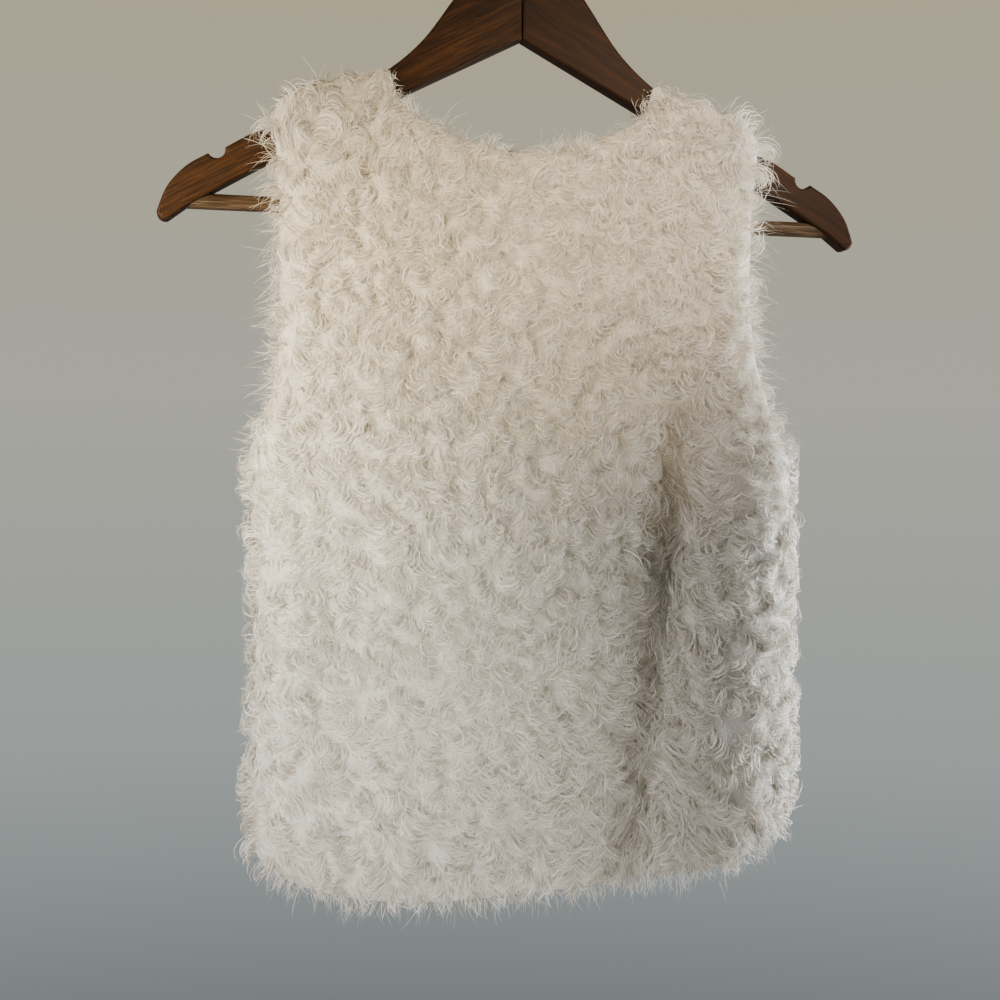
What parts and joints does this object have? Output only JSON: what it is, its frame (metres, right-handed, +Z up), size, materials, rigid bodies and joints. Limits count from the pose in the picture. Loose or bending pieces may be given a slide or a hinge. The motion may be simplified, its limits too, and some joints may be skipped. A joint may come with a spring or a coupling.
{
  "type": "faux fur vest on a clothes hanger",
  "caption": "Sleeveless curly faux fur vest with a scooped back neck, open front and rounded hem, hung on a flat wooden hanger with a trouser bar and a wire hook.",
  "frame": {"origin": "inside of the hook at its top, where it rests on a rod, in the middle plane of the hanger", "axes": "+Z up, +X to the wearer's right, which is right in a view of the back, +Y the way the front of the vest faces"},
  "size_m": [0.445, 0.1108, 0.6549],
  "materials": {
    "fur": "soft curly pile, ivory",
    "wood": "satin lacquer, dark stain",
    "steel": "polished"
  },
  "bodies": {
    "root": {"back_panel": "fur", "front_left": "fur", "front_right": "fur", "hanger_arm_left": "wood", "hanger_arm_right": "wood", "trouser_bar": "wood", "hook": "steel"}
  },
  "joints": []
}
